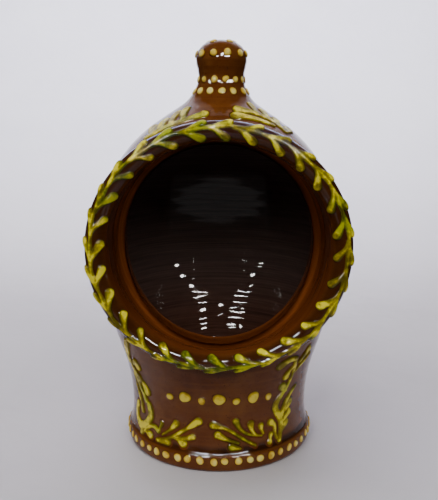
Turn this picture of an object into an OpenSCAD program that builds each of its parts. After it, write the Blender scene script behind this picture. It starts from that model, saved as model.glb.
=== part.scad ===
// Salt pig: a thrown stoneware jar with a domed top, a solid knob and a
// wide round mouth in a flared collar that faces forward (-Y).
// Millimetres, +Z up, origin on the turning axis at the base plane.

/* [Body] */
// Total height, base to top of knob
total_h = 230; // [210:1:250]
// Greatest diameter of the chamber
belly_d = 137; // [130:1:144]
// Diameter of the flared foot
foot_d = 109.8; // [106:0.2:114]
// Height of the plain band round the foot
foot_band_h = 9; // [8:0.5:10]
// Wall thickness of the chamber
wall = 6; // [5:0.5:7]
// Thickness of the base
base_t = 8; // [6:0.5:10]

/* [Mouth] */
// Height of the mouth's centre above the base
mouth_z = 127; // [124:0.5:130]
// Diameter of the round hole cut in the chamber wall
hole_d = 96.4; // [92:0.2:98]
// How far the lip stands in front of the turning axis
lip_reach = 81; // [79:0.5:84]
// Outer diameter of the rolled lip
lip_d = 124.4; // [122:0.2:127]
// Radius of the lip's roll
lip_roll_r = 4.7; // [4.2:0.1:5.2]
// Thickness of the collar behind the lip
collar_t = 6; // [5:0.5:7]

/* [Knob] */
// Height at which the knob is luted on the dome
knob_z = 198; // [197:0.5:199]
// Greatest diameter of the knob
knob_d = 28.6; // [26:0.2:30]

/* [Slip dots] */
// Number of dots round the foot
foot_dot_n = 51; // [45:1:54]
// Radius of the ball that a foot dot is the cap of
foot_dot_r = 2.2; // [2.0:0.1:2.4]
// Radius of the ball that a knob dot is the cap of
knob_dot_r = 2.3; // [2.0:0.1:2.4]
// Dots in the ring round the knob's crown
crown_dot_n = 11; // [9:1:12]
// Dots in the ring round the knob's waist
waist_dot_n = 13; // [11:1:15]
// Dots in the ring round the neck
neck_dot_n = 14; // [12:1:16]

/* [Slip garland] */
// Number of leaves along each side of the garland's stem
leaf_n = 28; // [26:1:30]
// Radius of a leaf's round head
leaf_r = 1.9; // [1.6:0.1:2.1]
// Half width of the garland's stem
stem_r = 1.1; // [0.9:0.1:1.3]
// Height that trailed slip stands proud of the wall
slip_h = 0.9; // [0.7:0.1:1.1]

/* [Hidden] */
$fn = 48;
kz = total_h / 230;
kr = belly_d / 137;
foot_r = foot_d / 2;
belly_r = belly_d / 2;
hole_r = hole_d / 2;
lip_r = lip_d / 2;
roll_c = lip_r - lip_roll_r;      // radius of the roll's centre line
roll_y = lip_reach - lip_roll_r;  // how far forward that centre line is

// Chamber outline above the foot: [height, radius] by eye
OUT = [[foot_band_h, foot_r], [11, foot_r - 1.5], [14, foot_r - 2.8],
       [18, foot_r - 3.3], [24, foot_r - 3.2], [32, foot_r - 2.7],
       [40, foot_r - 1.6], [48, 55.4 * kr], [58, 58.5 * kr], [68, 61.7 * kr],
       [78, 64.4 * kr], [90, 66.9 * kr], [102, 68.2 * kr], [112, belly_r],
       [122, 68.2 * kr], [132, 67.2 * kr], [142, 65.3 * kr],
       [152, 62.4 * kr], [160, 59.0 * kr], [166, 55.2 * kr],
       [172, 50.1 * kr], [178, 44.4 * kr], [183, 38.5 * kr],
       [188, 31.6 * kr], [192, 25.6 * kr], [195, 21.0 * kr],
       [knob_z, 17.3]];
// Chamber inside, from the centre of the floor to the dome's crown
INN = [[base_t, 0], [base_t, foot_r - wall - 8], [base_t + 1.4, foot_r - wall - 5.4],
       [base_t + 4.5, foot_r - wall - 3.6], [22, foot_r - wall - 3.2],
       [32, foot_r - wall - 2.6], [42, foot_r - wall - 1.2],
       [54, 57.2 * kr - wall], [68, 61.6 * kr - wall], [84, 65.6 * kr - wall],
       [100, 67.9 * kr - wall], [112, belly_r - wall],
       [124, 67.9 * kr - wall], [138, 65.8 * kr - wall],
       [150, 62.4 * kr - wall], [160, 57.6 * kr - wall],
       [168, 51.4 * kr - wall], [175, 44.6 * kr - wall],
       [181, 37.2 * kr - wall], [186, 29.2 * kr - wall],
       [189.5, 21 * kr - wall], [191.5, 6], [192, 0]];
// Knob outline
KN = [[0, 17.3], [1.5, 16.1], [3.5, 14.6], [6, 13.3], [9, 12.7], [12, 12.8],
      [15, 13.3], [17.5, 13.9], [20, knob_d / 2], [22, knob_d / 2 - 0.2],
      [24, knob_d / 2 - 1.1], [26, knob_d / 2 - 2.6], [28, knob_d / 2 - 4.8],
      [29.8, knob_d / 2 - 7.5], [31.2, knob_d / 2 - 10.9], [32, 0]];

// Outer radius of the chamber at height z, straight between the points above
function out_r(z) = z <= foot_band_h ? foot_r :
    lookup(z, [for (p = OUT) [p[0], p[1]]]);
// Height above the base of a knob point
function kz_of(p) = knob_z + p[0] * (total_h - knob_z) / 32;
function knob_r(z) = lookup(z, [for (p = KN) [kz_of(p), p[1]]]);

// Solid of the chamber's outer form between two heights, grown by g
module envelope(z0, z1) {
    rotate_extrude($fn = 360) polygon(concat(
        [[0, z0], [out_r(z0), z0]],
        [for (p = OUT) if (p[0] > z0 + 0.01 && p[0] < z1 - 0.01) [p[1], p[0]]],
        [[out_r(z1), z1], [0, z1]]));
}
module foot_solid() {
    rotate_extrude($fn = 180) polygon(concat(
        [[0, 0], [foot_r - 1.1, 0], [foot_r, 1.2], [foot_r, foot_band_h]],
        [for (p = OUT) if (p[0] > foot_band_h) [p[1], p[0]]],
        [[0, knob_z]]));
}

// Places children on the mouth's axis: local +Z points forward (-Y)
module at_mouth() {
    translate([0, 0, mouth_z]) rotate([90, 0, 0]) children();
}

module body() {
    color([0.33, 0.19, 0.16]) difference() {
        foot_solid();
        rotate_extrude($fn = 180) polygon([for (p = INN) [p[1], p[0]]]);
        at_mouth() cylinder(r = hole_r, h = 100, $fn = 180);
    }
}

// Section of the collar: radius from the mouth's axis, distance forward
module collar_section() {
    polygon(concat(
        [[hole_r, 30], [hole_r, 50], [hole_r + 0.5, 55], [hole_r + 1.3, 60],
         [hole_r + 2.5, 66], [roll_c - 5.5, 72]],
        [for (a = [-80 : 12.5 : 120])
            [roll_c + lip_roll_r * sin(a), roll_y + lip_roll_r * cos(a)]],
        [[roll_c + 1.7, roll_y - 5.8], [hole_r + collar_t + 3.0, 66.5],
         [hole_r + collar_t + 1.4, 60.5], [hole_r + collar_t + 0.4, 52],
         [hole_r + collar_t, 30]]));
}
module collar_solid() { at_mouth() rotate_extrude($fn = 360) collar_section(); }
// The full roll of the lip, which the garland is trailed on
module lip_roll() {
    at_mouth() rotate_extrude($fn = 360)
        translate([roll_c, roll_y]) circle(r = lip_roll_r);
}
module mouth_collar() {
    color([0.36, 0.17, 0.10]) difference() {
        collar_solid();
        envelope(20, knob_z);
    }
}

module knob_solid() {
    rotate_extrude($fn = 180) polygon(concat([[0, knob_z]], [for (p = KN) [p[1], kz_of(p)]]));
}
module knob() { color([0.33, 0.19, 0.16]) knob_solid(); }

// A drop of slip centred at height z on the knob
module knob_drop(z, a, r) {
    rotate([0, 0, a]) translate([knob_r(z) - (r - 1.1), 0, z]) sphere(r = r);
}
module foot_dots() {
    color([0.93, 0.87, 0.55]) difference() {
        for (i = [0 : foot_dot_n - 1])
            rotate([0, 0, -90 + (i + 0.5) * 360 / foot_dot_n])
                translate([foot_r - (foot_dot_r - slip_h), 0, 6.3])
                    sphere(r = foot_dot_r);
        translate([0, 0, 1.5]) cylinder(r = foot_r, h = foot_band_h - 1.5, $fn = 360);
    }
}
module knob_crown_dots() {
    color([0.93, 0.87, 0.55]) difference() {
        union() {
            for (i = [0 : crown_dot_n - 1])
                knob_drop(knob_z + 25.2, -90 + (i + 0.5) * 360 / crown_dot_n, knob_dot_r);
            for (i = [0 : 4])
                knob_drop(knob_z + 29.4, -90 + (i + 0.25) * 72, knob_dot_r - 0.2);
            translate([0, 0, total_h - 0.9]) sphere(r = 1.6);
        }
        knob_solid();
        translate([0, 0, total_h]) cylinder(r = 40, h = 20);
    }
}
module knob_waist_dots() {
    color([0.93, 0.87, 0.55]) difference() {
        for (i = [0 : waist_dot_n - 1])
            knob_drop(knob_z + 10.5, -90 + (i + 0.4) * 360 / waist_dot_n, knob_dot_r);
        knob_solid();
    }
}
module knob_neck_dots() {
    color([0.93, 0.87, 0.55]) difference() {
        for (i = [0 : neck_dot_n - 1])
            knob_drop(knob_z + 4.2, -90 + (i + 0.1) * 360 / neck_dot_n, knob_dot_r);
        knob_solid();
    }
}

// Point on the lip's roll: t is the angle clockwise from the top as seen
// from the front, a the angle round the roll, outward positive
function lip_pt(t, a, d) = let(r = roll_c + (lip_roll_r + d) * sin(a),
                               h = roll_y + (lip_roll_r + d) * cos(a))
    [r * sin(t), -h, mouth_z + r * cos(t)];

// A ball of slip at q on a surface whose outward normal is n
module ball(q, n, r) {
    translate(q) rotate([0, acos(n[2] / norm(n)), atan2(n[1], n[0])]) sphere(r = r);
}
// A trailed stroke from p to q: a round head at q that tapers to p
module drop_stroke(p, q, r0, r1, n) {
    v = q - p; l = norm(v);
    b = acos(v[2] / l); c = atan2(v[1], v[0]);
    ball(q, n, r1);
    translate(p) rotate([0, b, c]) cylinder(r1 = r0, r2 = r1 * 0.93, h = l);
}
module rim_vine_stem() {
    color([0.72, 0.70, 0.18]) difference() {
        at_mouth() rotate_extrude($fn = 360)
            translate([roll_c + 0.6, roll_y + lip_roll_r - (stem_r - slip_h)])
                circle(r = stem_r);
        lip_roll();
    }
}
module rim_leaves(side) {
    difference() {
        for (i = [0 : leaf_n - 1]) let(t = (side > 0 ? 1.7 : 2.6) + i * 360 / leaf_n)
            drop_stroke(lip_pt(t, side > 0 ? 28 : -17, 0),
                        lip_pt(t + 7.2, side > 0 ? 62 : -52, 0), 0.7, leaf_r,
                        lip_pt(t + 7.2, side > 0 ? 62 : -52, 1)
                        - lip_pt(t + 7.2, side > 0 ? 62 : -52, 0));
        lip_roll();
    }
}
module rim_leaves_inner() { color([0.66, 0.66, 0.16]) rim_leaves(-1); }
module rim_leaves_outer() { color([0.66, 0.66, 0.16]) rim_leaves(1); }

// Point d mm inside the chamber wall, s mm round from the front at height z
function wall_pt(s, z, k = 54, d = -0.05) = let(a = -90 + s * 180 / (PI * k))
    [(out_r(z) - d) * cos(a), (out_r(z) - d) * sin(a), z];
// A spray on the wall; each stroke is [start s, start z, end s, end z, ball radius].
// sunk strokes are shallow caps, slip_h high
module spray(strokes, m, k, z0, z1, sunk) {
    difference() {
        for (q = strokes)
            let(r0 = sunk ? max(0.8, q[4] * 0.42) : max(0.65, q[4] * 0.5),
                d0 = sunk ? r0 - 0.65 : -0.05, d1 = sunk ? q[4] - slip_h : -0.05)
                drop_stroke(wall_pt(m * q[0], q[1], k, d0), wall_pt(m * q[2], q[3], k, d1),
                            r0, q[4],
                            [wall_pt(m * q[2], q[3], k)[0], wall_pt(m * q[2], q[3], k)[1], 0]);
        envelope(z0, z1);
    }
}
FRONT_L = [[36, 12.4, 25.6, 17.4, 1.3], [22.6, 19.4, 11.2, 28.2, 2.9],
           [32.6, 17.6, 24.2, 25, 2.7], [35.8, 18.9, 34.2, 22.6, 1.6],
           [44.8, 16.9, 40.2, 18.2, 1.7], [20.2, 16.8, 14.6, 18.4, 2.3],
           [24.8, 14, 20.6, 13.2, 2.1], [32, 11.9, 28.8, 12.2, 1.5],
           [46.4, 13.6, 42.6, 13.2, 2.1]];
FRONT_R = [[20.2, 13, 12.6, 18.2, 1.3], [10.4, 19.9, -2, 26.2, 2.6],
           [15.4, 20.6, 9.4, 28.2, 2.4], [19.6, 20.6, 17.2, 26, 2.5],
           [25.2, 18.6, 23.6, 24, 2.2], [32.6, 17.6, 29.8, 24, 2.5],
           [9.2, 15.8, -0.4, 19.4, 2.3], [11.6, 12.4, 7, 13, 1.8],
           [30.2, 16.6, 29.2, 13, 1.8]];
SIDE_L = [[56.4, 27.6, 57.8, 20.8, 1.5], [56.8, 18, 53, 15, 1.4],
          [43.6, 30.6, 43.4, 23.4, 1.8], [45, 20.2, 48.8, 16.6, 1.5],
          [53.6, 54, 50.8, 42.2, 1.2], [49.8, 39.6, 46.4, 33.6, 1.2],
          [55.2, 47, 53.8, 37, 1.2], [53.2, 34.6, 50.8, 25, 1.3],
          [50, 55.4, 47.4, 53.4, 1.9], [49.4, 48.4, 47.6, 45.4, 1.9],
          [45.8, 42.2, 44.2, 38.8, 2.1], [56.4, 55.4, 52.2, 66, 1.9]];
SIDE_R = [[35.8, 13.2, 37, 22, 1.6], [36.6, 25.4, 33.4, 33.2, 1.8],
          [35.4, 38.4, 39.8, 45.6, 1.2], [40.6, 48.2, 41.2, 57.8, 1.2],
          [46.4, 40.8, 40.6, 33.6, 1.5], [41, 28.4, 44.6, 31.6, 2.1],
          [39.8, 23.2, 43.8, 26.2, 2.0], [39.4, 17.6, 42.2, 20.6, 1.9],
          [34.4, 42, 33.6, 45.6, 2.4], [38.6, 54.2, 36.8, 50.8, 2.1],
          [38.4, 61.2, 31.4, 59, 2.2], [43.6, 52.4, 51.6, 58.8, 1.4],
          [44.8, 58.6, 49.8, 63.6, 2.1]];
DOME = [[16, 187, 6, 191.5, 1.1], [19, 183, 9, 186.2, 1.2], [25, 178, 20, 186.4, 1.15],
        [32.5, 174.5, 28.4, 181.8, 1.1], [38, 170.5, 34.6, 177.4, 1.1], [21, 178.5, 13, 180, 1.2]];
module front_spray_left() { color([0.62, 0.66, 0.14]) spray(FRONT_L, -1, 52, 10, 75, true); }
module front_spray_right() { color([0.62, 0.66, 0.14]) spray(FRONT_R, 1, 52, 10, 75, true); }
module side_branch_left() { color([0.62, 0.66, 0.14]) spray(SIDE_L, -1, 52, 10, 75, true); }
module side_branch_right() { color([0.62, 0.66, 0.14]) spray(SIDE_R, 1, 52, 10, 75, true); }
module dome_spray_left() { color([0.85, 0.80, 0.35]) spray(DOME, -1, 40, 164, knob_z, false); }
module dome_spray_right() { color([0.85, 0.80, 0.35]) spray(DOME, 1, 40, 164, knob_z, false); }

// A plain row of slip dots on the front panel, large and small by turns
module panel_dots() {
    color([0.93, 0.87, 0.55]) difference() {
        for (i = [-3 : 3])
            let(r = i % 2 == 0 ? 5.2 : 3.2, z = i % 2 == 0 ? 42 : 40.6)
                translate(wall_pt(i * 9, z, 52, r - slip_h)) sphere(r = r);
        envelope(20, 60);
    }
}

body();
mouth_collar();
knob();
foot_dots();
knob_crown_dots();
knob_waist_dots();
knob_neck_dots();
rim_vine_stem();
rim_leaves_inner();
rim_leaves_outer();
front_spray_left();
front_spray_right();
side_branch_left();
side_branch_right();
dome_spray_left();
dome_spray_right();
panel_dots();
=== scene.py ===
import bmesh
import bpy
import math
import numpy as np
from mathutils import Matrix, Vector


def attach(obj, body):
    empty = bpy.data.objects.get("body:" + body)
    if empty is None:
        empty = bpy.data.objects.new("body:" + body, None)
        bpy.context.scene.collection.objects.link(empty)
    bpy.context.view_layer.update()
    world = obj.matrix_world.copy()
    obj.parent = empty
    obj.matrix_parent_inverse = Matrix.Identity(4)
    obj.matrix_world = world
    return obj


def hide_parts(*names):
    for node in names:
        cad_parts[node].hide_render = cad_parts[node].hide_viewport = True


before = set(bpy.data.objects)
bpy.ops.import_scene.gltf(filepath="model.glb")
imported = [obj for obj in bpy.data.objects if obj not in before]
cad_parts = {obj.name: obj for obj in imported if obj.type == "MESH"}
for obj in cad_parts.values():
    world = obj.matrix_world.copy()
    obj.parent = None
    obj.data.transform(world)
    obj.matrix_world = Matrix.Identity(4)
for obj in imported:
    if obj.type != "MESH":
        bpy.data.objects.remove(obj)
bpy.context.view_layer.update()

RNG = np.random.RandomState(7)

# ---------------------------------------------------------------- camera
cam_data = bpy.data.cameras.new("camera")
cam = bpy.data.objects.new("camera", cam_data)
bpy.context.scene.collection.objects.link(cam)
cam.location = (0.0, -0.391, 0.191)
cam.rotation_euler = (math.radians(90.0 - 11.45), 0.0, 0.0)
cam_data.sensor_fit = "AUTO"
cam_data.sensor_width = 36.0
cam_data.lens = 681.0 * 36.0 / 500.0
cam_data.clip_start = 0.01
bpy.context.scene.camera = cam

# ---------------------------------------------------------------- curves
# All shapes below are worked out in millimetres and scaled when the mesh is made.


def cubic(xs, ys):
    """Natural cubic spline through the points, as a function."""
    x = np.asarray(xs, float)
    y = np.asarray(ys, float)
    n = len(x)
    h = np.diff(x)
    a = np.zeros((n, n))
    b = np.zeros(n)
    a[0, 0] = a[-1, -1] = 1.0
    for i in range(1, n - 1):
        a[i, i - 1] = h[i - 1]
        a[i, i] = 2 * (h[i - 1] + h[i])
        a[i, i + 1] = h[i]
        b[i] = 6 * ((y[i + 1] - y[i]) / h[i] - (y[i] - y[i - 1]) / h[i - 1])
    m = np.linalg.solve(a, b)

    def f(q):
        q = np.asarray(q, float)
        i = np.clip(np.searchsorted(x, q, side="right") - 1, 0, n - 2)
        t0 = x[i + 1] - q
        t1 = q - x[i]
        return (
            m[i] * t0**3 + m[i + 1] * t1**3
        ) / (6 * h[i]) + (y[i] / h[i] - m[i] * h[i] / 6) * t0 + (
            y[i + 1] / h[i] - m[i + 1] * h[i] / 6
        ) * t1

    return f


def curve2(points, step):
    """Smooth curve through 2-D points, sampled about every step mm."""
    p = np.asarray(points, float)
    d = np.concatenate([[0], np.cumsum(np.sqrt(np.hypot(*np.diff(p, axis=0).T)))])
    fx, fy = cubic(d, p[:, 0]), cubic(d, p[:, 1])
    q = np.linspace(0, d[-1], 4000)
    c = np.stack([fx(q), fy(q)], 1)
    s = np.concatenate([[0], np.cumsum(np.hypot(*np.diff(c, axis=0).T))])
    n = max(2, int(round(s[-1] / step)))
    t = np.linspace(0, s[-1], n + 1)
    return np.stack([np.interp(t, s, c[:, 0]), np.interp(t, s, c[:, 1])], 1)


def bez(p0, p1, p2, p3, n, first=True):
    t = np.linspace(0, 1, n + 1)[:, None]
    if not first:
        t = t[1:]
    p0, p1, p2, p3 = (np.asarray(v, float)[None, :] for v in (p0, p1, p2, p3))
    return (1 - t) ** 3 * p0 + 3 * (1 - t) ** 2 * t * p1 + 3 * (1 - t) * t**2 * p2 + t**3 * p3


def smooth(a, b, x):
    t = np.clip((np.asarray(x, float) - a) / (b - a), 0, 1)
    return t * t * (3 - 2 * t)


# Outer outline of the pot, foot to crown: (radius, height)
OUTLINE = [
    (52.6, 0.0), (53.8, 0.5), (54.55, 1.7), (54.8, 3.6), (54.75, 6.0), (54.6, 7.8),
    (54.2, 9.1), (53.35, 10.3), (52.75, 11.8), (52.25, 14.4), (51.85, 19.0), (51.8, 24.0), (52.1, 30.0),
    (52.8, 36.5), (54.0, 43.5), (55.9, 51.0), (58.3, 58.5), (60.8, 66.5), (63.1, 75.0),
    (65.0, 83.0), (66.6, 91.5), (67.7, 100.5), (68.2, 110.0), (68.1, 119.0), (67.3, 129.0),
    (65.9, 138.0), (63.9, 146.5), (61.5, 154.0), (58.6, 160.5), (55.2, 166.0), (51.0, 171.5),
    (46.2, 176.6), (41.0, 181.3), (35.4, 185.5), (30.0, 189.2), (25.2, 192.4), (21.2, 195.1),
    (18.4, 197.5), (16.1, 200.4), (14.4, 203.4), (13.2, 206.6), (12.7, 209.8), (13.0, 213.0),
    (13.75, 216.2), (14.2, 219.0), (13.95, 221.6), (12.9, 224.2), (10.9, 226.7), (8.2, 228.6),
    (4.6, 229.75), (0.0, 230.0),
]
NECK_Z = 198.0
MOUTH_Z = 127.0
HOLE_R = 48.2
ROLL = 4.7
ROLL_C = 57.5
ROLL_Y = 76.1
LIP_X = 1.021
LIP_Z = 0.973

_o = curve2(OUTLINE, 0.25)
_oz = np.maximum.accumulate(_o[:, 1] + np.arange(len(_o)) * 1e-9)


def r_of(z):
    """Outer radius of the pot at height z, in mm."""
    return np.interp(z, _oz, _o[:, 0])


def wobble(th, z):
    """The small irregularity a hand-thrown wall has, in mm."""
    w = 0.11 * np.sin(2 * th + 0.6) * np.sin(z / 31.0 + 0.4)
    w += 0.07 * np.sin(3 * th + z / 40.0)
    rings = 0.045 * np.sin(2 * np.pi * z / 6.3 + th + 1.7 * np.sin(z / 23.0))
    rings += 0.02 * np.sin(2 * np.pi * z / 2.9 + th * 2)
    fade = smooth(10, 22, z) * (1 - smooth(190, 200, z))
    foot = 0.050 * np.sin(23 * th + 1.3) * np.sin(2 * np.pi * z / 2.6 + 3 * np.sin(5 * th)) + 0.035 * np.sin(41 * th + 2 * np.sin(9 * th))
    return (w + rings) * fade + foot * smooth(7.6, 9.0, z) * (1 - smooth(12, 15, z))


def wall(th, z, lift=0.0):
    """Point on the outer wall at angle th (0 is the front, + towards +X) and height z."""
    r = r_of(z) + wobble(th, z)
    dz = 0.4
    slope = (r_of(z + dz) - r_of(z - dz)) / (2 * dz)
    k = 1.0 / np.sqrt(1 + slope**2)
    rr = r + lift * k
    return np.stack([rr * np.sin(th), -rr * np.cos(th), z - lift * slope * k], -1)


# ---------------------------------------------------------------- mesh helpers


def make(name, verts, faces, normals=None, attrs=None, smooth_faces=None):
    """Mesh object from millimetre vertices. normals are per vertex, attrs per vertex floats."""
    me = bpy.data.meshes.new(name)
    verts = np.array(verts, float)
    # the knob was set on a hair to one side
    verts[:, 0] += 1.4 * smooth(180, 216, verts[:, 2])
    me.from_pydata((verts * 0.001).tolist(), [], [list(map(int, f)) for f in faces])
    me.validate()
    for k, v in (attrs or {}).items():
        at = me.attributes.new(k, "FLOAT", "POINT")
        at.data.foreach_set("value", np.asarray(v, np.float32))
    me.shade_smooth()
    if normals is not None:
        n = np.asarray(normals, float)
        n = n / np.maximum(np.linalg.norm(n, axis=1, keepdims=True), 1e-9)
        me.normals_split_custom_set_from_vertices(n.tolist())
    o = bpy.data.objects.new(name, me)
    bpy.context.scene.collection.objects.link(o)
    return o


def march(g, wrap=False):
    """Clips a grid to g > 0 with marching triangles.

    g is (n, m). wrap joins the last column to the first. Returns (uv, tris): uv are
    fractional grid positions of the vertices, tris index them."""
    n, m = g.shape
    g = np.where(np.abs(g) < 1e-6, 1e-6, g)
    ids = -np.ones((n, m), int)
    inside = g > 0
    ii, jj = np.nonzero(inside)
    ids[ii, jj] = np.arange(len(ii))
    uv = [np.stack([ii, jj], 1).astype(float)]
    count = len(ii)
    cache = {}
    extra = []

    def cut(a, b):
        nonlocal count
        key = (a, b) if a < b else (b, a)
        if key in cache:
            return cache[key]
        (i0, j0), (i1, j1) = key
        g0, g1 = g[i0, j0 % m], g[i1, j1 % m]
        t = g0 / (g0 - g1)
        extra.append((i0 + t * (i1 - i0), j0 + t * (j1 - j0)))
        cache[key] = count
        # the same edge seen from the far side of the wrap
        if wrap and j0 >= m and j1 >= m:
            cache[((i0, j0 - m), (i1, j1 - m))] = count
        count += 1
        return cache[key]

    tris = []
    cols = m if wrap else m - 1
    jn = (np.arange(cols) + 1) % m
    c00 = inside[:-1, :cols]
    c10 = inside[1:, :cols]
    c01 = inside[:-1, jn]
    c11 = inside[1:, jn]
    full = c00 & c10 & c01 & c11
    fi, fj = np.nonzero(full)
    a = ids[fi, fj]
    b = ids[fi + 1, fj]
    c = ids[fi + 1, (fj + 1) % m]
    d = ids[fi, (fj + 1) % m]
    quads = np.stack([a, b, c, d], 1)
    part = (c00 | c10 | c01 | c11) & ~full
    for i, j in zip(*np.nonzero(part)):
        for tri in (((i, j), (i + 1, j), (i + 1, j + 1)), ((i, j), (i + 1, j + 1), (i, j + 1))):
            ins = [inside[p[0], p[1] % m] for p in tri]
            k = sum(ins)
            if k == 0:
                continue
            # canonical keys for wrapped edges
            vid = []
            for q in range(3):
                p, r = tri[q], tri[(q + 1) % 3]
                if ins[q]:
                    vid.append(ids[p[0], p[1] % m])
                if ins[q] != ins[(q + 1) % 3]:
                    pp, rr = p, r
                    if wrap and p[1] >= m and r[1] >= m:
                        pp, rr = (p[0], p[1] - m), (r[0], r[1] - m)
                    vid.append(cut(pp, rr))
            tris.append(vid)
    uv = np.concatenate([uv[0], np.asarray(extra, float).reshape(-1, 2)])
    return uv, [list(q) for q in quads] + tris


def boundary(faces):
    """Directed edges that belong to one face only."""
    e = {}
    for f in faces:
        k = len(f)
        for q in range(k):
            a, b = f[q], f[(q + 1) % k]
            if (b, a) in e:
                del e[(b, a)]
            else:
                e[(a, b)] = True
    return list(e)


# ---------------------------------------------------------------- body and knob
COLS = 288


def in_r(z):
    return np.interp(z, _iz, _i[:, 0])


INSIDE = [
    (0.0, 8.6), (18.0, 8.3), (33.0, 8.2), (39.5, 8.8), (43.4, 11.0), (45.2, 15.0), (45.9, 21.0),
    (46.1, 28.0), (46.8, 36.0), (48.2, 44.0), (50.4, 52.5), (53.0, 61.0), (55.8, 70.0),
    (58.3, 79.0), (60.3, 89.0), (61.7, 100.0), (62.2, 110.0), (62.0, 120.0), (61.0, 131.0),
    (59.0, 142.0), (56.2, 151.5), (52.4, 160.0), (47.4, 167.5), (41.2, 174.2), (34.4, 179.8),
    (27.0, 184.6), (19.6, 188.2), (12.0, 190.6), (5.5, 191.7), (0.0, 192.0),
]
_i = curve2(INSIDE, 0.5)
_iz = np.maximum.accumulate(_i[:, 1] + np.arange(len(_i)) * 1e-9)


_rz = np.linspace(0, 210, 2101)
_rp = 4.2 + 2.2 * smooth(62, 73, _rz) - 2.7 * smooth(98, 108, _rz)
_rphase = np.cumsum(0.1 / _rp)


def rings(z, th, d):
    """Throwing rings inside: low spiral ridges left by the fingers, in mm inward."""
    ph = np.interp(z, _rz, _rphase) - th / (2 * np.pi) + 0.06 * np.sin(z / 11.0 + 2 * th) + 0.03 * np.sin(5 * th + z / 7.0)
    tilt = 3.0 - 1.4 * smooth(98, 106, z)
    amp = np.tan(np.radians(tilt)) * np.interp(z, _rz, _rp) / (2 * np.pi)
    amp = amp * (1 + 0.20 * np.sin(3 * th + z / 9.0) + 0.14 * np.sin(7 * th - z / 5.0))
    fine = 0.006 * np.sin(2 * np.pi * z / 1.9 + 3 * th) + 0.006 * np.sin(2 * np.pi * z / 2.7 - 2 * th + 1.0)
    return (-amp * (np.sin(2 * np.pi * ph) - 0.06 * np.sin(6 * np.pi * ph)) + fine) * d


# Ridge tops on the back of the chamber that catch the lamp through the mouth:
# (degrees from the back, height, half width, half height, slope), lengths in mm.
GLINTS = [
    (-28.0, 89.5, 2.0, 1.1, -0.1), (-24.5, 82.0, 2.1, 1.0, -0.1), (-19.0, 75.0, 2.1, 0.9, -0.15),
    (-13.3, 70.5, 4.2, 0.30, -0.10), (-11.8, 67.8, 3.8, 0.30, 0.12), (-11.2, 63.8, 2.6, 0.24, 0.0),
    (-11.8, 59.0, 2.3, 1.1, 0.1), (-11.5, 53.5, 2.4, 0.32, 0.15), (-11.4, 50.2, 2.1, 0.32, 0.1), (-11.6, 47.2, 1.9, 0.6, 0.12),
    (1.6, 61.8, 1.6, 0.8, 0.15), (1.1, 55.5, 1.9, 0.32, 0.3),
    (27.4, 90.6, 1.5, 0.30, 0.0), (26.5, 88.2, 1.9, 0.30, 0.0), (22.3, 82.4, 2.0, 1.1, 0.3), (22.2, 75.4, 1.4, 0.7, 0.5),
    (15.7, 71.0, 2.6, 0.30, -0.17), (20.6, 71.2, 0.9, 0.30, 0.2), (14.4, 68.2, 3.2, 0.30, 0.0), (15.1, 64.0, 4.4, 0.24, -0.03),
    (11.0, 60.4, 3.0, 0.32, 0.12), (17.2, 60.2, 1.3, 0.30, 0.0), (11.5, 57.7, 2.8, 0.30, -0.18), (17.2, 58.0, 1.2, 0.30, 0.0),
    (12.0, 54.1, 4.3, 0.32, 0.0), (9.6, 49.4, 2.6, 0.6, 0.0), (10.2, 47.6, 2.8, 0.32, 0.1), (17.0, 48.8, 1.4, 1.0, -0.2),
]


def half_way(P, lamp):
    """Unit normals at P that mirror the lamp towards the camera."""
    out = []
    for q in (np.array([0.0, -391.0, 191.0]), np.array(lamp, float)):
        v = q - P
        out.append(v / np.linalg.norm(v, axis=-1, keepdims=True))
    h = out[0] + out[1]
    return h / np.linalg.norm(h, axis=-1, keepdims=True)


def revolve(line, cols, offset=None, ang0=0.0):
    """Grid of points of a turned line [(r, z)] and their normals, rows x cols."""
    r, z = line[:, 0], line[:, 1]
    th = ang0 + np.arange(cols) * 2 * np.pi / cols
    R = r[:, None] + np.zeros(cols)[None, :]
    Z = z[:, None] + np.zeros(cols)[None, :]
    if offset is not None:
        R, Z = offset(R, Z, th[None, :] + np.zeros_like(R))
    P = np.stack([R * np.sin(th)[None, :], -R * np.cos(th)[None, :], Z], -1)
    du = np.gradient(P, axis=0)
    dv = (np.roll(P, -1, 1) - np.roll(P, 1, 1)) / 2
    N = np.cross(dv, du)
    return P, N


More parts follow.
